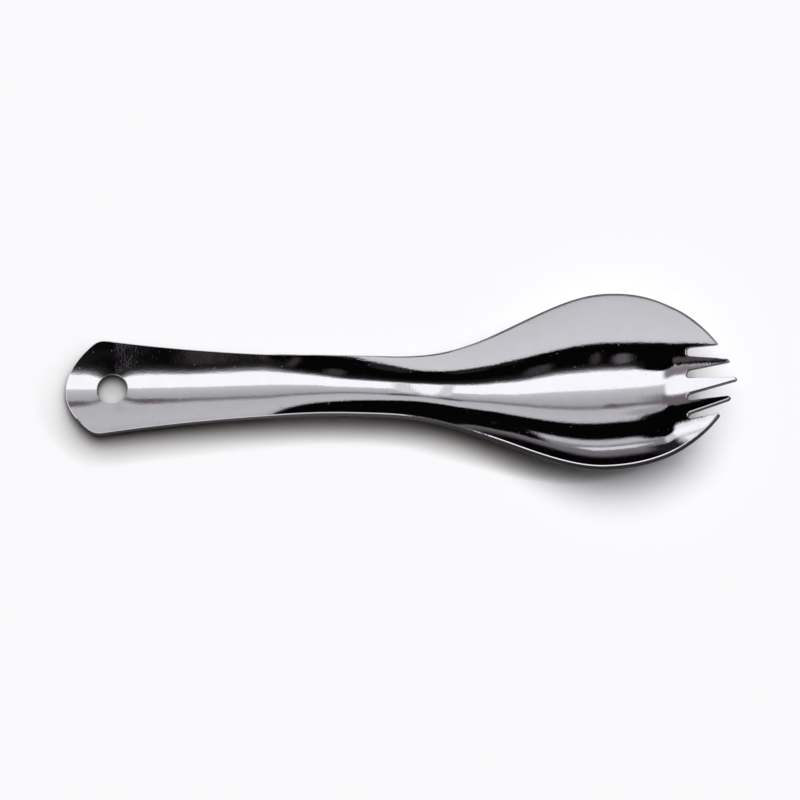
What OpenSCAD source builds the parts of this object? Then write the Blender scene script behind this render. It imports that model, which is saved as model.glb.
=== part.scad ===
// Spork: a bowl, three tines and a troughed handle pressed from one sheet of stainless steel.
// Millimetres. +X runs from the handle's end to the tines, and the open side of the bowl faces +Z.
// The origin is on the table under the middle of the length.

/* [Whole] */
// Length over all, from the handle's end to the tip of the middle tine
length = 160; // [150:1:190]
// Thickness of the sheet
sheet_t = 1.3; // [0.8:0.1:1.8]

/* [Handle] */
// Width that the handle's two sides open towards at its end
end_w = 26.3; // [22:0.2:32]
// Radius of the handle's end where it crosses the middle line
end_r = 9.6; // [8:0.1:12]
// Length over which the two corners of the handle's end are blended
corner_blend = 1.5; // [0.4:0.1:2.5]
// Width of the handle at its waist
waist_w = 14.5; // [11:0.1:18]
// Distance of the waist from the handle's end
waist_x = 70.5; // [62:0.5:76]
// Slope of the handle's two sides at their edges, in degrees
flange_angle = 14.6; // [8:0.2:20]
// Angle by which the arched handle turns down towards the neck, in degrees
arch_turn = 15.2; // [8:0.2:20]
// Where the handle's arch begins, from the handle's end
arch_from = 52.6; // [36:0.2:58]
// Where the handle's arch ends, from the handle's end
arch_to = 85.4; // [76:0.2:90]

/* [Neck] */
// Slope of the neck's two sides at their edges, in degrees
neck_angle = 22.4; // [16:0.2:32]
// Where the handle's sides begin to steepen, from the handle's end
turn_from = 46; // [40:0.5:52]
// Where they have the neck's slope, from the handle's end
turn_to = 63.2; // [56:0.2:68]
// Distance from the tines' end to where the neck's trough is roundest
round_l = 73; // [66:0.5:78]
// Distance from the tines' end to where the section is the bowl's round one
bowl_round_l = 39; // [34:0.5:46]

/* [Hanging hole] */
// Diameter of the hanging hole
hole_d = 7.2; // [5:0.1:9]
// Distance of the hole's centre from the handle's end
hole_x = 11.3; // [10:0.1:14]

/* [Bowl] */
// Width of the bowl at its widest station
bowl_w = 42.8; // [36:0.2:50]
// Distance of the widest station from the tines' end
nose_l = 30.6; // [26:0.2:36]
// Distance from the tines' end to where the sides begin to open into the bowl
shoulder_l = 83.4; // [74:0.2:88]
// Slope of the bowl's wall at its rim, in degrees
rim_angle = 44.8; // [36:0.2:54]
// Distance from the tines' end to where the neck has turned level
neck_to_l = 57.2; // [53:0.1:60]
// Length of the bend at the neck
neck_bend_l = 13.7; // [10:0.1:24]
// Distance from the tines' end to where the bowl's floor begins to rise
rise_from_l = 51.4; // [44:0.1:54]
// Length over which the bowl's floor curves up
rise_l = 34.6; // [24:0.2:38]
// Angle by which the bowl's floor curves up, in degrees
rise_turn = 14.8; // [8:0.1:20]

/* [Tines] */
// Length of a slot, measured along X from its root to the tines' end
slot_l = 11.35; // [8:0.05:14]
// Distance of the inner slots' roots from the middle line
inner_slot_y = 2.85; // [2.6:0.05:3.2]
// Radius of the inner slots' roots
inner_root_r = 0.9; // [0.6:0.05:1.2]
// Distance of the outer slots' roots from the middle line
outer_slot_y = 7.9; // [7.6:0.05:9]
// Radius of the outer slots' roots
outer_root_r = 0.95; // [0.7:0.05:1.3]
// Flare of each side of an inner slot, in degrees
inner_flare = 4.8; // [3:0.1:6]
// Flare of each side of an outer slot, in degrees
outer_flare = 4.2; // [3:0.1:6]
// Angle by which the inner slots lean towards the middle tine, in degrees
inner_lean = 2.7; // [0:0.1:4]
// Angle by which the outer slots lean towards the middle tine, in degrees
outer_lean = 8.2; // [4:0.1:10]
// Width of the middle tine's blunt tip
tip_w = 1; // [0.6:0.1:1.6]
// Angle by which the tines are bent up from the bowl's floor, in degrees
tine_turn = 12.2; // [4:0.2:18]
// Distance from the tines' end to where their bend begins
tine_bend_from_l = 16.8; // [15:0.2:22]
// Length of the tines' bend
tine_bend_l = 2.5; // [2:0.5:8]

/* [Hidden] */

// Shares that shape the curves
end_fall_share = 0.114;
swell_share = 1.245;
nose_shares = [2.22, 0.715];
nose_tighten_share = 0.337;
// Half-width over the trough's radius on the middle line, along the handle and at the neck
round_shares = [0.407, 0.789];

// Rows of the sheet's grid: the handle's end, the long middle, the tines' bend and the nose
end_rows = 14;
middle_rows = 58;
bend_rows = 4;
nose_rows = 14;
// Cells across the sheet
across = 24;
// Lengths over which the rows close up towards each end; the nose's one begins past the tines' bend
end_zone = end_r;
nose_zone = min(slot_l, tine_bend_from_l - tine_bend_l - 1);
// Small step along the surface that gives its slopes
probe = sheet_t / 100;
// How far every cutter runs past the sheet
overrun = 2 * sheet_t;
// Facets on round cutters
$fn = 48;

// The tines' end on the upper face lies behind the overall end, because the cut edge leans forward
nose_pitch = atan(tan(rise_turn) + tan(tine_turn));
nose_x = length - sheet_t * sin(nose_pitch);
widest_x = nose_x - nose_l;
shoulder_x = nose_x - shoulder_l;
neck_to = nose_x - neck_to_l;
neck_from = neck_to - neck_bend_l;
rise_from = nose_x - rise_from_l;
rise_to = rise_from + rise_l;
tine_bend_from = nose_x - tine_bend_from_l;
tine_bend_to = tine_bend_from + tine_bend_l;
round_x = nose_x - round_l;
bowl_round_x = nose_x - bowl_round_l;
slot_x = nose_x - slot_l;

// The handle's end and the bowl's floor stand on one table, so these two slopes follow from the arch
arch_slope = tan(arch_turn);
neck_slope = arch_slope * (arch_from + arch_to) / (neck_from + neck_to);
start_slope = arch_slope - neck_slope;

// First and last stations: narrow blunt edges in place of points
first_x = pow(tip_w, 2) / (8 * end_r);
last_x = widest_x + nose_l * pow(1 - pow(tip_w / bowl_w, 1 / nose_shares[1]), 1 / nose_shares[0]);

function clamp(u) = min(max(u, 0), 1);
function smooth(u) = clamp(u) * clamp(u) * (3 - 2 * clamp(u));
function turned(x, from, to) = smooth((x - from) / (to - from));
function mix(a, b, u) = a + (b - a) * u;
// The smaller of two lengths, with the corner between them blended over the length k
function blend_min(a, b, k) = min(a, b) - pow(max(k - abs(a - b), 0), 2) / (4 * k);
// Integral of a slope that grows evenly from 0 at a to 1 at b
function bend(x, a, b) = x <= a ? 0 : x >= b ? x - (a + b) / 2 : pow(x - a, 2) / (2 * (b - a));

// Half-width of the sheet at a station x from the handle's end
function end_arc(x) = sqrt(max(2 * end_r * x - end_fall_share * x * x, 0));
function handle_side(x) = mix(waist_w, end_w, pow(clamp(1 - x / waist_x), 2)) / 2;
function bowl_swell(x) =
    smooth(pow(clamp((x - shoulder_x) / (widest_x - shoulder_x)), swell_share)) * (bowl_w - waist_w) / 2;
function nose_share(x) = clamp((x - widest_x) / nose_l);
function nose_close(x) = pow(max(1 - pow(nose_share(x), nose_shares[0]), 0), nose_shares[1]);
function side(x) = (handle_side(x) + bowl_swell(x)) * nose_close(x);
function half_w(x) = blend_min(end_arc(x), side(x), corner_blend);

// Height of the middle line: one arch, the neck, the rise of the bowl's floor and the bend of the tines
function spine(x) =
    start_slope * x
    - arch_slope * bend(x, arch_from, arch_to)
    + neck_slope * bend(x, neck_from, neck_to)
    + tan(rise_turn) * bend(x, rise_from, rise_to)
    + tan(tine_turn) * bend(x, tine_bend_from, tine_bend_to);

// Section across the sheet: a conic with a given roundness on the middle line and a given slope at its edges.
// It is a trough with nearly flat sides along the handle, a deeper one at the neck, and a circle in the bowl.
function side_angle(x) =
    mix(mix(flange_angle, neck_angle, turned(x, turn_from, turn_to)), rim_angle,
        turned(x, turn_to, bowl_round_x));
function roundness(x) =
    mix(mix(round_shares[0], round_shares[1], turned(x, turn_from, round_x)), sin(rim_angle),
        turned(x, round_x, bowl_round_x));
function tightened_w(x) = bowl_w / 2 * (1 - nose_tighten_share * pow(nose_share(x), 2));
function section_w(x) = x > widest_x ? tightened_w(x) : side(max(x, hole_x));
function conic(c, angle, v) = c * v * v / (1 + sqrt(1 + (pow(c / tan(angle), 2) - 1) * v * v));
function section_z(x, y) = section_w(x) * conic(roundness(x), side_angle(x), y / section_w(x));

// A point of the upper face, its slopes and its normal
function top_z(x, y) = sheet_t + spine(x) + section_z(x, y);
function slope_x(x, y) = (top_z(x + probe, y) - top_z(x - probe, y)) / (2 * probe);
function slope_y(x, y) = (top_z(x, y + probe) - top_z(x, y - probe)) / (2 * probe);
function unit(v) = v / norm(v);
function normal(x, y) = unit([-slope_x(x, y), -slope_y(x, y), 1]);
function top_point(x, y) = [x - length / 2, y, top_z(x, y)];
function bottom_point(x, y) = top_point(x, y) - sheet_t * normal(x, y);

// Stations along the sheet, closer together where its outline or its spine turns fast
stations = [
    for (i = [0 : end_rows - 1]) first_x + end_zone * (1 - cos(90 * i / end_rows)),
    for (i = [0 : middle_rows - 1]) mix(first_x + end_zone, tine_bend_from, i / middle_rows),
    for (i = [0 : bend_rows]) mix(tine_bend_from, tine_bend_to, i / bend_rows),
    for (i = [nose_rows : -1 : 0]) last_x - nose_zone * (1 - cos(90 * i / nose_rows))
];
last_row = len(stations) - 1;
row_points = across + 1;

// Number of a grid point: face 0 is the upper one and face 1 the lower one
function at(face, i, j) = (face * (last_row + 1) + i) * row_points + j;
// Two triangles that fill the cell a, b, c, d
function cell(a, b, c, d) = [[a, b, c], [a, c, d]];

// The whole sheet before its hole and slots are punched: two faces one thickness apart and a square-cut edge
module sheet_blank() {
    ys = [for (j = [0 : across]) 2 * j / across - 1];
    points = [
        for (x = stations) for (y = ys) top_point(x, y * half_w(x)),
        for (x = stations) for (y = ys) bottom_point(x, y * half_w(x))
    ];
    upper = [
        for (i = [0 : last_row - 1]) for (j = [0 : across - 1])
            each cell(at(0, i, j), at(0, i, j + 1), at(0, i + 1, j + 1), at(0, i + 1, j))
    ];
    lower = [
        for (i = [0 : last_row - 1]) for (j = [0 : across - 1])
            each cell(at(1, i, j), at(1, i + 1, j), at(1, i + 1, j + 1), at(1, i, j + 1))
    ];
    long_edges = [
        for (i = [0 : last_row - 1])
            each concat(
                cell(at(0, i, 0), at(0, i + 1, 0), at(1, i + 1, 0), at(1, i, 0)),
                cell(at(0, i, across), at(1, i, across), at(1, i + 1, across), at(0, i + 1, across)))
    ];
    ends = [
        for (j = [0 : across - 1])
            each concat(
                cell(at(0, 0, j), at(1, 0, j), at(1, 0, j + 1), at(0, 0, j + 1)),
                cell(at(0, last_row, j), at(0, last_row, j + 1),
                     at(1, last_row, j + 1), at(1, last_row, j)))
    ];
    polyhedron(points, concat(upper, lower, long_edges, ends));
}

// Stands its children on the upper face at (x, y), with their Z square to the sheet
module square_to_sheet(x, y) {
    pitch = atan(slope_x(x, y));
    translate(top_point(x, y))
        rotate([atan(slope_y(x, y) * cos(pitch)), -pitch, 0])
            children();
}

// Outline of one slot, its root's centre at the origin: a round root and two sides that flare towards +X
module slot_outline(root_r, flare) {
    reach = slot_l / cos(nose_pitch) + overrun;
    tangent = root_r * [-sin(flare), cos(flare)];
    mouth_y = tangent.y + (reach - tangent.x) * tan(flare);
    circle(root_r);
    polygon([tangent, [reach, mouth_y], [reach, -mouth_y], [tangent.x, -tangent.y]]);
}

// Cutter for one slot on the side that the sign of y gives, leaning towards the middle tine
module slot_cutter(y, root_r, flare, lean) {
    square_to_sheet(slot_x + root_r, y)
        rotate(-sign(y) * lean)
            linear_extrude(2 * (sheet_t + overrun), center = true)
                slot_outline(root_r, flare);
}

module tine_slots() {
    for (s = [-1, 1]) {
        slot_cutter(s * inner_slot_y, inner_root_r, inner_flare, inner_lean);
        slot_cutter(s * outer_slot_y, outer_root_r, outer_flare, outer_lean);
    }
}

module hanging_hole() {
    square_to_sheet(hole_x, 0)
        cylinder(h = 2 * (sheet_t + overrun), d = hole_d, center = true);
}

// The one piece: the pressed sheet with its four slots and its hanging hole punched out
module pressed_spork() {
    color("silver")
        difference() {
            sheet_blank();
            tine_slots();
            hanging_hole();
        }
}

pressed_spork();
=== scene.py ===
"""A one-piece pressed spork of polished stainless steel, lying on a pale studio table.

The sheet is worked out with numpy from the same sizes and curves as the part's source. It is drawn in
millimetres, with X from the handle's end to the tines, Y towards the far side and Z up from the table, and
is put into metres in the part's own frame when its mesh is made.
"""

import bpy
import numpy as np
from mathutils import Matrix, Vector


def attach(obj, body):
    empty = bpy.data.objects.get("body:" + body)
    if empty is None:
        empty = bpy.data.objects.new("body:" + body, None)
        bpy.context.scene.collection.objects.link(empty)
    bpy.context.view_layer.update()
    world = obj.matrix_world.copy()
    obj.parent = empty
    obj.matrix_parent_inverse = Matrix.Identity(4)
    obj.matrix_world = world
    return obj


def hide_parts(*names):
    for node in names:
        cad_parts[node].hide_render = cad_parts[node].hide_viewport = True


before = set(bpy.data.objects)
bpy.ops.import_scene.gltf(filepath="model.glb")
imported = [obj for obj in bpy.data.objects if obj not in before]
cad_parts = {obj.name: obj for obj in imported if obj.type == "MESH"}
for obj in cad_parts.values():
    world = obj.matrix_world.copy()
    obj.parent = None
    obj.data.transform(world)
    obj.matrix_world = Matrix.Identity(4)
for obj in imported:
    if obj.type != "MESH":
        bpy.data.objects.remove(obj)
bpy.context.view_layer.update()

MM = 0.001

# Sizes of the pressed sheet, as in the part's source: lengths in millimetres, and angles written in degrees
LENGTH = 160.0
SHEET = 1.3
END_W, END_R, END_FALL, CORNER_BLEND = 26.3, 9.6, 0.114, 1.5
WAIST_W, WAIST_X = 14.5, 70.5
FLANGE_ANGLE, NECK_ANGLE, RIM_ANGLE = np.radians((14.6, 22.4, 44.8))
ARCH_TURN, ARCH_FROM, ARCH_TO = np.radians(15.2), 52.6, 85.4
TURN_FROM, TURN_TO = 46.0, 63.2
HANDLE_ROUND, NECK_ROUND = 0.407, 0.789
HOLE_D, HOLE_X = 7.2, 11.3
BOWL_W, SWELL_SHARE = 42.8, 1.245
NOSE_L, NOSE_SHARES, NOSE_TIGHTEN = 30.6, (2.22, 0.715), 0.337
NECK_BEND_L, RISE_L, RISE_TURN = 13.7, 34.6, np.radians(14.8)
TINE_TURN, TINE_BEND_L = np.radians(12.2), 2.5
TIP_W, SLOT_L = 1.0, 11.35
INNER_SLOT = dict(y=2.85, root_r=0.9, flare=np.radians(4.8), lean=np.radians(2.7))
OUTER_SLOT = dict(y=7.9, root_r=0.95, flare=np.radians(4.2), lean=np.radians(8.2))

# Stations that lie a set distance behind the tines' end
NOSE_X = LENGTH - SHEET * np.sin(np.arctan(np.tan(RISE_TURN) + np.tan(TINE_TURN)))
WIDEST_X, SHOULDER_X = NOSE_X - NOSE_L, NOSE_X - 83.4
ROUND_X, BOWL_ROUND_X = NOSE_X - 73.0, NOSE_X - 39.0
NECK_TO, RISE_FROM = NOSE_X - 57.2, NOSE_X - 51.4
NECK_FROM, RISE_TO = NECK_TO - NECK_BEND_L, RISE_FROM + RISE_L
TINE_BEND_FROM = NOSE_X - 16.8
SLOT_X = NOSE_X - SLOT_L

# Slopes that let the handle's end and the bowl's floor stand on one table
ARCH_SLOPE = np.tan(ARCH_TURN)
NECK_SLOPE = ARCH_SLOPE * (ARCH_FROM + ARCH_TO) / (NECK_FROM + NECK_TO)
START_SLOPE = ARCH_SLOPE - NECK_SLOPE

# The punch leaves a shallow dimple round the hanging hole: its depth at the hole, and how fast it dies away
DIMPLE_D, DIMPLE_REACH = 0.16, 2.4
# The handle is pressed a little steeper on its far side: the slope added there, the stations between which
# that dies away, and the two distances from the middle line between which it grows and then dies away again
FAR_SLOPE, FAR_FROM, FAR_TO = np.tan(np.radians(2.5)), 24.0, 52.0
FAR_GROWS, FAR_FADES = (-2.0, 3.5), (6.0, 9.0)

# The tumbled edge: the bevel's length and turn, the radius of its two corners, the lower edge's radius, and
# a narrow flat ring that keeps the upper face flat up to the bevel
BEVEL_L, BEVEL_TURN, CORNER_R = 0.2, np.radians(50), 0.07
LOWER_R, GUARD = 0.24, 0.05
INSET = GUARD + CORNER_R + BEVEL_L * np.cos(BEVEL_TURN)
# A tine's tip: its radius, how far it stands back from the sharp corner of the tine's two sides, and how
# softly and how steeply it opens into them
TIP_R, TIP_BACK, TIP_BLEND, TIP_OPENS = 0.25, 0.1, 0.1, 4
# How softly a slot's side meets the outline, and how far the slots' grown roots stand behind the slots' own
SIDE_BLEND, ROOT_BACK = 0.4, 0.15

# First and last stations of the outline: narrow blunt edges
FIRST_X = TIP_W ** 2 / (8 * END_R)
LAST_X = WIDEST_X + NOSE_L * (1 - (TIP_W / BOWL_W) ** (1 / NOSE_SHARES[1])) ** (1 / NOSE_SHARES[0])

# Points of the fine lines on which the outline, a slot's root and a tine's width are looked up
OUTLINE_POINTS, ROOT_POINTS, WIDTH_POINTS = 6000, 801, 4000
# Grid of the sheet: rows of the handle's end and of the long body, the end's length, rows of a tine, and
# cells across the shoulders, the side tines and the middle tine
END_ROWS, BODY_ROWS, END_ZONE, TINE_ROWS = 10, 184, 3.0, 26
CELLS = (14, 11, 12, 11, 14)
# A tine's last row stands this far before its tip, and a tip is looked for past this far from the roots
LAST_ROW, TIP_SEARCH = 0.006, 2.0
# The hanging hole takes the place of a block of cells, and the grid is drawn round it over twice the block
HOLE_ROWS, HOLE_CELLS, HOLE_REACH = (16, 24), 18, 2.0
# Points of the lower edge's quarter round
LOWER_POINTS = 5


def clamp(u):
    """The nearest number from 0 to 1."""
    return np.clip(u, 0.0, 1.0)


def smooth(u):
    """A smooth step from 0 to 1: three times the square less twice the cube."""
    return clamp(u) ** 2 * (3 - 2 * clamp(u))


def turned(x, start, end):
    """The smooth step from 0 at the start to 1 at the end."""
    return smooth((x - start) / (end - start))


def mix(a, b, u):
    """The value that lies the share u of the way from a to b."""
    return a + (b - a) * u


def blend_min(a, b, k):
    """The smaller of two lengths, with the corner between them blended over the length k."""
    return np.minimum(a, b) - np.maximum(k - np.abs(a - b), 0) ** 2 / (4 * k)


def bend(x, start, end):
    """Integral of a slope that grows evenly from 0 at start to 1 at end."""
    u = clamp((x - start) / (end - start))
    return (end - start) * u ** 2 / 2 + np.maximum(x - end, 0)


def nose_share(x):
    """How far a station lies from the bowl's widest place to the end of the nose, from 0 to 1."""
    return clamp((x - WIDEST_X) / NOSE_L)


def side_w(x):
    """Half-width without the rounded end: the handle opens with the square of the distance from its waist,
    the bowl swells on a smooth step, and the nose closes on a power curve."""
    handle = mix(WAIST_W, END_W, clamp(1 - x / WAIST_X) ** 2) / 2
    from_shoulder = clamp((x - SHOULDER_X) / (WIDEST_X - SHOULDER_X))
    swell = smooth(from_shoulder ** SWELL_SHARE) * (BOWL_W - WAIST_W) / 2
    close = np.maximum(1 - nose_share(x) ** NOSE_SHARES[0], 0) ** NOSE_SHARES[1]
    return (handle + swell) * close


def half_w(x):
    """Half-width of the sheet: the conic arc of the handle's end, blended into its sides."""
    arc = np.sqrt(np.maximum(2 * END_R * x - END_FALL * x ** 2, 0))
    return blend_min(arc, side_w(x), CORNER_BLEND)


def spine(x):
    """Height of the middle line: the handle's arch, the neck, the rise of the bowl and the tines' bend."""
    return (START_SLOPE * x
            - ARCH_SLOPE * bend(x, ARCH_FROM, ARCH_TO)
            + NECK_SLOPE * bend(x, NECK_FROM, NECK_TO)
            + np.tan(RISE_TURN) * bend(x, RISE_FROM, RISE_TO)
            + np.tan(TINE_TURN) * bend(x, TINE_BEND_FROM, TINE_BEND_FROM + TINE_BEND_L))


def section_z(x, y):
    """Height above the middle line: a conic across the sheet that has a given roundness (half-width over
    radius) on the middle line and a given slope at the edges. Its half-width is the sheet's side, held from
    the hole to the handle's end, and in the nose it closes more slowly than the outline."""
    angle = mix(mix(FLANGE_ANGLE, NECK_ANGLE, turned(x, TURN_FROM, TURN_TO)), RIM_ANGLE,
                turned(x, TURN_TO, BOWL_ROUND_X))
    roundness = mix(mix(HANDLE_ROUND, NECK_ROUND, turned(x, TURN_FROM, ROUND_X)), np.sin(RIM_ANGLE),
                    turned(x, ROUND_X, BOWL_ROUND_X))
    tightened = BOWL_W / 2 * (1 - NOSE_TIGHTEN * nose_share(x) ** 2)
    w = np.where(x > WIDEST_X, tightened, side_w(np.maximum(x, HOLE_X)))
    v = y / w
    return w * roundness * v ** 2 / (1 + np.sqrt(1 + ((roundness / np.tan(angle)) ** 2 - 1) * v ** 2))


def face_z(x, y):
    """Height of the upper face: one thickness over the spine and the section, less the dimple, which dies
    away with the distance from the hole, plus what the far side's slope adds up to."""
    from_hole = np.maximum(np.hypot(x - HOLE_X, y) - HOLE_D / 2, 0)
    dimple = DIMPLE_D * np.exp(-from_hole / DIMPLE_REACH)
    far = FAR_SLOPE * (bend(y, *FAR_GROWS) - bend(y, *FAR_FADES)) * (1 - turned(x, FAR_FROM, FAR_TO))
    return SHEET + spine(x) + section_z(x, y) - dimple + far


def face_slopes(x, y, step=0.01):
    """Slopes of the upper face along X and Y, by a central difference."""
    return ((face_z(x + step, y) - face_z(x - step, y)) / (2 * step),
            (face_z(x, y + step) - face_z(x, y - step)) / (2 * step))


def unit(v):
    """Vectors of length 1 in the same directions."""
    return v / np.linalg.norm(v, axis=-1, keepdims=True)


def face_points(x, y):
    """Points of the upper face over (x, y), and the normals there."""
    along, over = face_slopes(x, y)
    return np.stack([x, y, face_z(x, y)], -1), unit(np.stack([-along, -over, np.ones_like(x)], -1))


def inset_outline():
    """The outline moved inwards by the inset: each point steps back along the outline's plan normal, and
    the step is shortened by the slope of the sheet in that direction."""
    x = mix(FIRST_X, LAST_X, (1 - np.cos(np.linspace(0, np.pi, OUTLINE_POINTS))) / 2)
    w = half_w(x)
    out = unit(np.stack([-np.gradient(w), np.gradient(x)], -1))
    along, over = face_slopes(x, w)
    step = INSET / np.sqrt(1 + (along * out[:, 0] + over * out[:, 1]) ** 2)
    return x - step * out[:, 0], w - step * out[:, 1]


OUTLINE_X, OUTLINE_W = inset_outline()


def edge_y(x):
    """Half-width of the flat face inside the rounded edge."""
    return np.interp(x, OUTLINE_X, OUTLINE_W)


def slot_sides(y, root_r, flare, lean):
    """Plan lines of a slot on the +Y side, grown by the inset. The root is an arc about its centre and the
    two sides are its flared tangents. The outline leans towards the middle tine and stands square to the
    sheet. Returns the root's apex and two rows of points, from the apex along the inner side and along the
    outer side."""
    r = root_r + INSET
    turn = np.linspace(np.pi / 2 + flare, 3 * np.pi / 2 - flare, ROOT_POINTS)
    reach = 1.5 * SLOT_L
    mouth = r * np.cos(flare) + (reach + r * np.sin(flare)) * np.tan(flare)
    u = np.concatenate([[reach], r * np.cos(turn), [reach]])
    v = np.concatenate([[mouth], r * np.sin(turn), [-mouth]])
    u, v = u * np.cos(lean) + v * np.sin(lean), v * np.cos(lean) - u * np.sin(lean)
    along, over = face_slopes(np.float64(SLOT_X + root_r), np.float64(y))
    pitch = np.arctan(along)
    roll = np.arctan(over * np.cos(pitch))
    px = SLOT_X + root_r + u * np.cos(pitch) - v * np.sin(roll) * np.sin(pitch)
    py = y + v * np.cos(roll)
    apex = int(np.argmin(px))
    px += APEX_X - px[apex]
    return py[apex], (px[apex:], py[apex:]), (px[apex::-1], py[apex::-1])


# Station of the slots' apexes on the grown outline, and the sides of the inner and the outer slots
APEX_X = SLOT_X - ROOT_BACK
INNER_Y, INNER_IN, INNER_OUT = slot_sides(**INNER_SLOT)
OUTER_Y, OUTER_IN, OUTER_OUT = slot_sides(**OUTER_SLOT)


def side_line(points, sign=1):
    """A slot's side as a function of the station: its distance from the middle line, times a sign."""
    return lambda x: sign * np.interp(x, *points)


def beyond(sign):
    """A side line that lies outside the sheet, where the outline bounds the tine instead."""
    return lambda x: sign * BOWL_W + 0 * x


def tine_sides():
    """The two side lines of each of the five tines, from the near side to the far side."""
    return ((beyond(-1), side_line(OUTER_OUT, -1)), (side_line(OUTER_IN, -1), side_line(INNER_OUT, -1)),
            (side_line(INNER_IN, -1), side_line(INNER_IN)), (side_line(INNER_OUT), side_line(OUTER_IN)),
            (side_line(OUTER_OUT), beyond(1)))


def tine_grid(low, high, cells):
    """Plan points of one tine between two side lines: rows from the slots' apexes to the tip, closer
    together at both ends, and even shares across. The sides stay inside the sheet's outline and close on a
    round tip, whose half-width is the root of twice its radius times the distance from it."""
    def sides(x):
        lo, hi = low(x), high(x)
        lo, hi = -blend_min(-lo, edge_y(x), SIDE_BLEND), blend_min(hi, edge_y(x), SIDE_BLEND)
        return (lo + hi) / 2, (hi - lo) / 2
    x = np.linspace(APEX_X + TIP_SEARCH, OUTLINE_X[-1], WIDTH_POINTS)
    width = sides(x)[1]
    end = x[-1] + TIP_BACK
    corner = x[np.argmax(width < 0)] if (width < 0).any() else end
    tip = min(corner, end) - TIP_BACK
    u = (1 - np.cos(np.linspace(0, np.pi, TINE_ROWS + 1))) / 2
    x = mix(APEX_X, tip - LAST_ROW, u)
    middle, width = sides(x)
    round_tip = np.sqrt(2 * TIP_R * (tip - x)) + TIP_OPENS * np.maximum(tip - x - TIP_R, 0)
    width = blend_min(width, round_tip, TIP_BLEND)
    across = np.linspace(-1, 1, cells + 1)
    return x[:, None] + 0 * across, middle[:, None] + width[:, None] * across


def body_grid():
    """Plan points of the sheet from the handle's end to the slots' apexes: stations along X, and fixed
    shares of the half-width across, whose groups end at the slots. Round the hole the block's square rings
    are drawn towards circles about its centre. Returns the rings' numbers too, 1 on the block's border."""
    k = np.arange(END_ROWS) / END_ROWS
    start = OUTLINE_X[0]
    x = np.concatenate([start + END_ZONE * k ** 2, np.linspace(start + END_ZONE, APEX_X, BODY_ROWS + 1)])
    borders = np.array([-edge_y(APEX_X), -OUTER_Y, -INNER_Y, INNER_Y, OUTER_Y, edge_y(APEX_X)])
    share = np.concatenate([np.linspace(a, b, n, endpoint=False)
                            for a, b, n in zip(borders, borders[1:], CELLS)] + [borders[-1:]]) / borders[-1]
    px = x[:, None] + 0 * share
    py = share * edge_y(x)[:, None]
    row, cell = np.meshgrid(np.arange(len(x)), np.arange(len(share)), indexing="ij")
    a = (row - sum(HOLE_ROWS) / 2) / (HOLE_ROWS[1] - HOLE_ROWS[0]) * 2
    b = (cell - (len(share) - 1) / 2) / HOLE_CELLS * 2
    ring = np.maximum(np.abs(a), np.abs(b))
    never_zero = 1e-9
    radius = (HOLE_D / 2 + INSET) * ring / np.maximum(np.hypot(a, b), never_zero)
    loose = smooth((ring - 1) / (HOLE_REACH - 1))
    return mix(HOLE_X + radius * a, px, loose), mix(radius * b, py, loose), ring


def quads(grid):
    """The cells of a grid of values, each as its four corners' values, turning left seen from above."""
    return np.stack([grid[:-1, :-1], grid[1:, :-1], grid[1:, 1:], grid[:-1, 1:]], -1)


def upper_grids():
    """Plan points and quads of the upper face, which are the body's grid round the hole and then the tines'
    grids, and two closed loops of vertex numbers, round the outline and round the hole."""
    bx, by, ring = body_grid()
    rows, columns = bx.shape
    index = np.arange(rows * columns).reshape(rows, columns)
    xs, ys = [bx.ravel()], [by.ravel()]
    in_hole = quads(ring).max(axis=-1) <= 1
    faces = [quads(index)[~in_hole]]
    outline = [index[:-1, 0]]
    count, column = rows * columns, 0
    for (low, high), cells in zip(tine_sides(), CELLS):
        tx, ty = tine_grid(low, high, cells)
        number = count + np.arange(TINE_ROWS * (cells + 1)).reshape(TINE_ROWS, cells + 1)
        number = np.vstack([index[-1, column:column + cells + 1], number])
        xs.append(tx[1:].ravel())
        ys.append(ty[1:].ravel())
        faces.append(quads(number).reshape(-1, 4))
        outline += [number[:-1, 0], number[-1], number[-2:0:-1, -1]]
        count += tx[1:].size
        column += cells
    outline += [index[:0:-1, -1], index[0, :0:-1]]

    (r0, r1), c0 = HOLE_ROWS, (columns - 1 - HOLE_CELLS) // 2
    c1 = c0 + HOLE_CELLS
    hole = [index[r0, c0:c1], index[r0:r1, c1], index[r1, c1:c0:-1], index[r1:r0:-1, c0]]
    x, y, upper = (np.concatenate(a) for a in (xs, ys, faces))
    return x, y, upper, (np.concatenate(outline), np.concatenate(hole))


def edge_profile():
    """The cut edge's profile from the upper to the lower face: steps outwards, steps down and the turn of
    the normal. It is a flat ring, the bevel between two rounded corners, the wall, and a quarter round."""
    share = np.array([0, 0.5, 1])
    corner = BEVEL_TURN * share
    second = mix(BEVEL_TURN, np.pi / 2, share)
    lower = np.linspace(np.pi / 2, np.pi, LOWER_POINTS)
    out = np.concatenate([GUARD + CORNER_R * np.sin(corner), INSET - CORNER_R * (1 - np.sin(second)),
                          INSET - LOWER_R * (1 - np.sin(lower))])
    start = CORNER_R + BEVEL_L * np.sin(BEVEL_TURN)
    down = np.concatenate([CORNER_R * (1 - np.cos(corner)), start - CORNER_R * np.cos(second),
                           SHEET - LOWER_R * (1 + np.cos(lower))])
    return out, down, np.concatenate([corner, second, lower])


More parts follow.
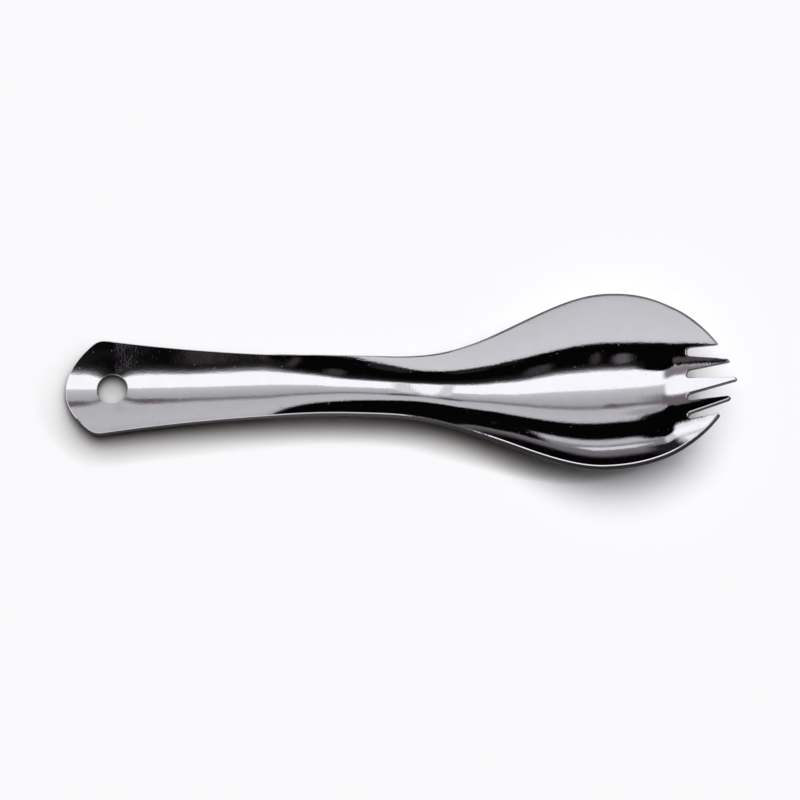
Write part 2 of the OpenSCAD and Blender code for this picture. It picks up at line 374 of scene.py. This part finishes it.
def carry_edge(loop, points, normals, first_number):
    """Carries the edge profile along a closed loop of the upper face's vertices. Outwards is the loop's
    tangent crossed with the sheet's normal. Returns the new points, their normals, their shares of cut wall
    and the quads. The cut wall is where the normal has turned level or further, but not straight down; it is
    duller, and its colour is darkened as painted shade."""
    out, down, turn = (v[:, None, None] for v in edge_profile())
    p, n = points[loop], normals[loop]
    tangent = np.roll(p, -1, axis=0) - np.roll(p, 1, axis=0)
    m = unit(np.cross(tangent, n))
    rings = p + out * m - down * n
    ring_normals = n * np.cos(turn) + m * np.sin(turn)
    slack = 0.01
    # The cut wall's share: duller metal, whose colour the steel darkens as painted shade
    dull_and_shaded = (turn > np.pi / 2 - slack) * (turn < np.pi - slack) + 0 * rings[..., :1]
    numbers = first_number + np.arange(rings[..., 0].size).reshape(rings.shape[:2])
    index = np.vstack([loop, numbers, loop + len(points)])
    index = np.hstack([index, index[:, :1]])
    faces = np.stack([index[:-1, 1:], index[:-1, :-1], index[1:, :-1], index[1:, 1:]], -1)
    return rings.reshape(-1, 3), ring_normals.reshape(-1, 3), dull_and_shaded.ravel(), faces.reshape(-1, 4)


def pressed_sheet():
    """Points in millimetres, normals, shares of the duller cut wall with its painted shade, and quads of the
    whole sheet: the upper face, the lower face one thickness below it along the normals, and the edge round
    the outline and the hole."""
    x, y, upper, loops = upper_grids()
    points, normals = face_points(x, y)
    all_points = [points, points - SHEET * normals]
    all_normals = [normals, -normals]
    all_dull_and_shaded = [np.zeros(2 * len(points))]
    all_faces = [upper, upper[:, ::-1] + len(points)]
    for loop in loops:
        number = sum(len(p) for p in all_points)
        edge_points, edge_normals, edge_dull_and_shaded, edge_faces = carry_edge(loop, points, normals, number)
        all_points.append(edge_points)
        all_normals.append(edge_normals)
        all_dull_and_shaded.append(edge_dull_and_shaded)
        all_faces.append(edge_faces)
    return tuple(np.concatenate(a) for a in (all_points, all_normals, all_dull_and_shaded, all_faces))


def make_piece(name, points, normals, dull_and_shaded, faces, material):
    """A smooth mesh object in metres in the part's frame, with the given normals and the share of cut wall,
    duller and darkened by painted shade, as an attribute; unused points are dropped."""
    used, numbers = np.unique(faces, return_inverse=True)
    points = (points[used] - (LENGTH / 2, 0, 0)) * MM
    faces = numbers.reshape(faces.shape)
    mesh = bpy.data.meshes.new(name)
    mesh.from_pydata(points, [], faces)
    mesh.shade_smooth()
    mesh.normals_split_custom_set_from_vertices(normals[used])
    mesh.attributes.new("dull_and_shaded", "FLOAT", "POINT").data.foreach_set("value", dull_and_shaded[used].astype(np.float32))
    mesh.materials.append(material)
    piece = bpy.data.objects.new(name, mesh)
    bpy.context.scene.collection.objects.link(piece)
    return piece


class Nodes:
    """Short way to add and wire shader nodes."""

    def __init__(self, tree):
        self.tree = tree
        tree.nodes.clear()

    def add(self, kind, inputs=None, **settings):
        """Adds a node, gives it its settings, and then wires or sets its inputs."""
        node = self.tree.nodes.new("ShaderNode" + kind)
        for key, value in settings.items():
            setattr(node, key, value)
        for key, value in (inputs or {}).items():
            if isinstance(value, bpy.types.NodeSocket):
                self.tree.links.new(value, node.inputs[key])
            else:
                node.inputs[key].default_value = value
        return node

    def math(self, operation, a, b=0.0, c=0.0):
        """The result of an operation on up to three numbers."""
        return self.add("Math", {0: a, 1: b, 2: c}, operation=operation).outputs[0]

    def step(self, value, start, end):
        """0 below start and 1 above end, smooth between."""
        return self.add("MapRange", {"Value": value, "From Min": start, "From Max": end},
                        interpolation_type="SMOOTHSTEP").outputs[0]

    def blend(self, share, a, b):
        """Colour a where the share is 0 and colour b where it is 1."""
        a, b = (c if isinstance(c, bpy.types.NodeSocket) else (*c, 1) for c in (a, b))
        return self.add("Mix", {0: share, 6: a, 7: b}, data_type="RGBA").outputs[2]

    def ramp(self, value, stops):
        """Colours laid out along a value from 0 to 1, as stops of a place and a colour."""
        ramp = self.add("ValToRGB", {0: value})
        elements = ramp.color_ramp.elements
        while len(elements) < len(stops):
            elements.new(0.5)
        for element, (place, colour) in zip(elements, stops):
            element.position, element.color = place, (*colour, 1)
        return ramp.outputs[0]


# The steel's relief: heights in millimetres of the fine grain, the longer orange peel and the pits, how
# many of each go into a metre, and a pit's radius as a share of its cell
GRAIN_H, PEEL_H, PIT_H = 0.0055, 0.008, 0.008
GRAIN_SCALE, PEEL_SCALE, PIT_SCALE = 2400.0, 330.0, 800.0
PIT_R = 0.13
# Its colour and its roughness, each from the peel's lows to its highs, and those of the cut wall: its
# roughness, and its colour darkened as painted shade
STEEL_COLOURS, STEEL_ROUGH = ((0.72, 0.715, 0.73), (0.76, 0.755, 0.77)), (0.02, 0.035)
WALL_PAINTED_SHADE_COLOUR, WALL_ROUGH = (0.07, 0.067, 0.069), 0.35


def polished_steel():
    """Bright steel: orange peel, fine grain and pits left under the polish, a slightly uneven gloss, and
    duller metal on the cut walls, whose colour is darkened as painted shade. The three heights are added up
    in units of the grain's."""
    material = bpy.data.materials.new("polished_steel")
    material.use_nodes = True
    n = Nodes(material.node_tree)
    place = n.add("TexCoord").outputs["Object"]
    dull_and_shaded = n.add("Attribute", attribute_name="dull_and_shaded").outputs["Fac"]
    grain = n.add("TexNoise", {"Vector": place, "Scale": GRAIN_SCALE, "Detail": 2.0}).outputs["Fac"]
    peel = n.add("TexNoise", {"Vector": place, "Scale": PEEL_SCALE, "Detail": 1.0}).outputs["Fac"]
    pit = n.add("TexVoronoi", {"Vector": place, "Scale": PIT_SCALE}).outputs["Distance"]
    pit = n.step(pit, 0.0, PIT_R)
    height = n.math("MULTIPLY_ADD", peel, PEEL_H / GRAIN_H, grain)
    height = n.math("MULTIPLY_ADD", pit, PIT_H / GRAIN_H, height)
    bump = n.add("Bump", {"Height": height, "Strength": 1.0, "Distance": GRAIN_H * MM}).outputs[0]
    low, high = STEEL_ROUGH
    rough = n.add("MapRange", {"Value": peel, "To Min": low, "To Max": high}).outputs[0]
    rough = n.add("Mix", {0: dull_and_shaded, 2: rough, 3: WALL_ROUGH}).outputs[0]
    # The cut wall's dark colour is painted shade; its roughness is the duller cut metal
    colour = n.blend(dull_and_shaded, n.blend(peel, *STEEL_COLOURS), WALL_PAINTED_SHADE_COLOUR)
    shader = n.add("BsdfPrincipled", {"Base Color": colour, "Metallic": 1.0, "Roughness": rough,
                                      "Normal": bump})
    n.add("OutputMaterial", {"Surface": shader.outputs[0]})
    return material


# The share of the light that the steel sends back, and the tints of what it shows
METAL = 0.74
COOL, BROWN, DUSK = (0.985, 0.975, 1.02), (1.16, 0.92, 1.0), (1.07, 0.95, 1.06)
# What the steel shows of the studio, as angles about the spork's length (0 is straight up, + is towards the
# near side) and the display level there. The angles reach the span to both sides.
SPAN = 112.0
BANDS = [(-112, 2), (-92, 40), (-86, 118), (-80, 120), (-78, 136), (-76.5, 170), (-75, 182), (-72, 172),
         (-69.6, 4), (-51.8, 3), (-50.8, 166), (-48, 182), (-38.5, 176), (-36, 128), (-34.5, 120),
         (-32.6, 158), (-22, 184), (-18.6, 196), (-17.6, 250), (-1.8, 250), (-0.4, 160), (1.4, 100), (3, 42),
         (6, 12), (8, 3), (24, 3), (25, 196), (30, 202), (60, 194), (67, 186), (70, 20), (112, 4)]
# Towards the tines the bands lean. Low on the far side they lean by a share of the angle past a start, and
# overhead they shift by one angle, between two angles along the length. Overhead begins and ends softly.
LEAN_FROM, LEAN_SHARE = 3.5, 0.3
SHIFT, SHIFT_BETWEEN = 3.2, (-5.0, 5.0)
OVERHEAD_BEGINS, OVERHEAD_ENDS = (-34.0, -26.0), (0.0, 8.0)
# Smaller things seen in it, as patches, each drawn over those before it: angle about the length, angle
# towards the tines, the two half-sizes, how far it leans, how soft its edge is, its level and its tint
PATCHES = [
    # Low on the far side
    (-81.8, -6, 2, 6, 0, 0.9, 207, COOL),
    (-84, -26, 8, 10.5, 0, 0.5, 196, COOL),
    (-84, -34, 9, 8, 0, 0.6, 250, COOL),
    (-70.5, -22, 8, 9.5, 0, 0.2, 2, COOL),
    (-80.5, -42, 10.8, 13.5, 0, 0.3, 244, COOL),
    (-76, 18, 22, 12.5, 0, 0.2, 4, COOL),
    # High on the far side
    (-34.5, -15, 1.5, 3, 0, 0.9, 104, DUSK),
    (-34.5, -13.4, 2.4, 1.1, 0, 0.9, 92, BROWN),
    (-35.5, -20, 1.4, 3, 0, 0.9, 118, DUSK),
    (-38.5, 15.5, 3, 3.5, 0, 0.9, 92, BROWN),
    (-27, -43, 13, 14.5, 0, 0.9, 248, COOL),
    (-42, -34, 9.5, 14, 0.55, 0.8, 98, DUSK),
    (-43.5, -22, 3.6, 7, 0, 0.9, 150, COOL),
    (-54, -27, 9.5, 11.5, 0, 0.2, 2, COOL),
    (-17, 17.5, 14, 2.2, 0, 0.5, 206, COOL),
    (-21, 25, 17, 5.2, 0, 0.5, 246, COOL),
    # Overhead and on the near side
    (-8.5, -43, 5.5, 15, 0, 0.9, 118, DUSK),
    (1.5, -33, 6, 13.5, 0, 0.2, 2, COOL),
    (4, -46.4, 3.6, 1.9, 0, 0.7, 74, BROWN),
    (7, 0.3, 4.5, 2.4, 0, 0.9, 52, DUSK),
    (9.5, -17.1, 4.6, 1.6, -0.3, 0.5, 82, DUSK),
    (11, -11.6, 5, 1.1, 0, 0.9, 48, BROWN),
    (22, 13, 3.4, 6, 0, 0.9, 32, BROWN)]
# How square a patch is: at a power of 2 it is an ellipse, and above that its corners fill out
PATCH_POWER = 3.0
# What the steel shows of itself, in the rays that it mirrors twice: bands again, and towards the handle's
# end two plain levels, each with the angles along the length over which it gives way to what is before it
DEEP_BANDS = [(-112, 2), (-34, 3), (-29, 14), (-25, 62), (-20, 96), (-8, 110), (60, 90), (112, 60)]
DEEP_ENDS = [((-24.0, -20.0), 30, DUSK), ((-36.0, -33.0), 235, COOL)]


def grey(level, tint):
    """Linear colour that shows as a display level, 0 to 255, times a tint: the display's curve undone."""
    value = ((level / 255 + 0.055) / 1.055) ** 2.4
    return tuple(value * t for t in tint)


def mirrored(level, tint, times=1):
    """The colour that shows as a level and a tint after the steel has mirrored it so many times."""
    return grey(level, tuple(c / METAL ** times for c in tint))


# The pale backdrop's colour, and the strength and tint of the even light from the sky
PALE = grey(249, (0.99, 1.0, 1.018))
SKY, SKY_TINT = 0.06, (1.2, 1.0, 0.97)
# The broad lamp above the far side: its lean from straight up, its lean to the side and its spread, and its
# light on a level table, where 1 is full
LAMP_LEAN, LAMP_SIDE, LAMP_SPREAD = np.radians((14, 5, 60))
LAMP_SHARE = 0.95

# How far the table reaches each way, and the painted shadow in the table's colour: how far over it something
# counts as close and in which direction, how fast the painted shadow darkens it there, and the colour it
# goes to
TABLE_REACH = 3.0
PAINTED_SHADOW_REACH, PAINTED_SHADOW_SLANT = 0.008, unit(np.array((0.1, 0.75, 0.65)))
PAINTED_SHADOW_POWER, PAINTED_SHADOW_COLOUR = 3.0, (0.19, 0.172, 0.166)

# The camera: its tilt from straight above and its turn, its distance and the width that it sees in metres,
# the picture's width in pixels and how many of them it stands to the right and down, and its sensor's width
TILT, TURN = np.radians((20, -0.52))
DISTANCE, FIELD = 0.7, 0.19185
PICTURE, RIGHT, DOWN = 800, 1.0, 7.0
SENSOR = 36


def bands(n, angle, levels, tint, times=1):
    """Levels laid out by an angle, from minus the span to the span, with straight stretches between."""
    place = n.math("DIVIDE", n.math("ADD", angle, SPAN), 2 * SPAN)
    return n.ramp(place, [((a + SPAN) / (2 * SPAN), mirrored(level, tint, times)) for a, level in levels])


def leaning(n, around, along):
    """The angle by which the bands lean. Low on the far side it is a share of the angle along past a start,
    and overhead it is the shift, come to on a smooth step."""
    high = n.step(around, *OVERHEAD_BEGINS)
    lean = n.math("MULTIPLY", n.math("MAXIMUM", n.math("SUBTRACT", along, LEAN_FROM), 0.0), LEAN_SHARE)
    lean = n.math("MULTIPLY", lean, n.math("SUBTRACT", 1.0, high))
    shift = n.math("MULTIPLY", n.math("SUBTRACT", high, n.step(around, *OVERHEAD_ENDS)), SHIFT)
    return n.math("MULTIPLY_ADD", n.step(along, *SHIFT_BETWEEN), shift, lean)


def patch_mask(n, around, along, patch):
    """1 on a patch and 0 off it: the two distances from its middle, each over its half-size and to the
    patch power, add up to 1 at its edge, and the mask fades by the softness to both sides of that."""
    angle, side, wide, long, lean, soft = patch
    off = n.math("SUBTRACT", along, side)
    off_angle = n.math("SUBTRACT", n.math("SUBTRACT", around, angle), n.math("MULTIPLY", off, lean))
    powers = [n.math("POWER", n.math("ABSOLUTE", n.math("DIVIDE", distance, size)), PATCH_POWER)
              for distance, size in ((off_angle, wide), (off, long))]
    return n.math("SUBTRACT", 1.0, n.step(n.math("ADD", *powers), 1 - soft, 1 + soft))


def seen_in_steel(n, twice):
    """What the steel shows of the studio: the leaning bands with their patches, and the deep bands in the
    rays that it mirrors twice. Around is a ray's angle about the length, and along is that to the tines."""
    split = n.add("SeparateXYZ", {0: n.add("TexCoord").outputs["Generated"]}).outputs
    x, y, z = split[0], split[1], split[2]
    around = n.math("MULTIPLY", n.math("ARCTAN2", n.math("MULTIPLY", y, -1.0), z), 180 / np.pi)
    along = n.math("MULTIPLY", n.math("ARCSINE", x), 180 / np.pi)
    panels = bands(n, n.math("ADD", around, leaning(n, around, along)), BANDS, COOL)
    for *patch, level, tint in PATCHES:
        panels = n.blend(patch_mask(n, around, along, patch), panels, mirrored(level, tint))
    deep = bands(n, around, DEEP_BANDS, DUSK, times=2)
    for gives_way, level, tint in DEEP_ENDS:
        deep = n.blend(n.step(along, *gives_way), mirrored(level, tint, times=2), deep)
    return n.blend(twice, panels, deep)


def studio_world():
    """The camera and clear rays see the pale backdrop, diffuse rays an even sky, and the steel long panels
    and dark gaps that lie along the spork. A ray's depths are whole numbers, so the tests lie half-way."""
    world = bpy.data.worlds.new("studio")
    world.use_nodes = True
    n = Nodes(world.node_tree)
    path = n.add("LightPath").outputs
    twice = n.math("GREATER_THAN", path["Glossy Depth"], 1.5)
    shown = n.blend(path["Is Glossy Ray"], PALE, seen_in_steel(n, twice))
    tinted = tuple(a * b for a, b in zip(PALE, SKY_TINT))
    sky = n.add("Background", {"Color": (*tinted, 1), "Strength": SKY}).outputs[0]
    seen = n.add("Background", {"Color": shown, "Strength": 1.0}).outputs[0]
    sharp = n.math("MAXIMUM", path["Is Glossy Ray"], path["Is Transmission Ray"])
    clear = n.math("MAXIMUM", path["Is Camera Ray"], sharp)
    clear = n.math("MULTIPLY", clear, n.math("LESS_THAN", path["Diffuse Depth"], 0.5))
    both = n.add("MixShader", {0: clear, 1: sky, 2: seen}).outputs[0]
    n.add("OutputWorld", {"Surface": both})
    bpy.context.scene.world = world


def studio_lamp():
    """One broad soft lamp, leaning over from the far side. The steel sees the panels in its place."""
    lamp = bpy.data.lights.new("soft_lamp", "SUN")
    lamp.energy = LAMP_SHARE * np.pi / np.cos(LAMP_LEAN)
    lamp.angle = LAMP_SPREAD
    holder = bpy.data.objects.new("soft_lamp", lamp)
    holder.rotation_euler = (-LAMP_LEAN, LAMP_SIDE, 0)
    holder.visible_glossy = False
    bpy.context.scene.collection.objects.link(holder)


def pale_table():
    """A plain pale table top, wider than any view. Its colour carries a painted shadow, added to the lamp's
    own
    shadow: it is darker where something stands close over it on the lamp's side. The share that stays clear,
    to a power, blends it from the painted shadow's colour to the pale one."""
    material = bpy.data.materials.new("pale_table")
    material.use_nodes = True
    n = Nodes(material.node_tree)
    slant = n.add("CombineXYZ", dict(zip("XYZ", PAINTED_SHADOW_SLANT))).outputs[0]
    # Painted shadow: the share of rays towards the lamp's side that stay clear darkens the table's own
    # colour
    clear = n.add("AmbientOcclusion", {"Distance": PAINTED_SHADOW_REACH, "Normal": slant}).outputs["AO"]
    colour = n.blend(n.math("POWER", clear, PAINTED_SHADOW_POWER), PAINTED_SHADOW_COLOUR, PALE)
    shader = n.add("BsdfPrincipled", {"Base Color": colour, "Roughness": 1.0, "Specular IOR Level": 0.0})
    n.add("OutputMaterial", {"Surface": shader.outputs[0]})
    mesh = bpy.data.meshes.new("table")
    corners = [(a * TABLE_REACH, b * TABLE_REACH, 0) for a, b in ((-1, -1), (1, -1), (1, 1), (-1, 1))]
    mesh.from_pydata(corners, [], [(0, 1, 2, 3)])
    mesh.materials.append(material)
    table = bpy.data.objects.new("table", mesh)
    bpy.context.scene.collection.objects.link(table)


def photo_camera():
    """A long lens above the near side, moved by a few pixels so that the spork lies as in the picture."""
    right, up = Vector((1, 0, 0)), Vector((0, np.cos(TILT), np.sin(TILT)))
    back = right.cross(up)
    right, up = right * np.cos(TURN) - up * np.sin(TURN), right * np.sin(TURN) + up * np.cos(TURN)
    pixel = FIELD / PICTURE
    place = Vector((0, 0, SHEET * MM)) + back * DISTANCE + right * RIGHT * pixel - up * DOWN * pixel
    lens = bpy.data.cameras.new("camera")
    lens.sensor_width = SENSOR
    lens.lens = SENSOR * DISTANCE / FIELD
    lens.clip_start = 0.01
    camera = bpy.data.objects.new("camera", lens)
    camera.matrix_world = Matrix.Translation(place) @ Matrix((right, up, back)).transposed().to_4x4()
    bpy.context.scene.collection.objects.link(camera)
    bpy.context.scene.camera = camera


photo_camera()
studio_world()
studio_lamp()
pale_table()

spork = make_piece("polished_spork", *pressed_sheet(), polished_steel())
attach(spork, "root")
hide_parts("pressed_spork")

bpy.context.scene.view_settings.view_transform = "Standard"
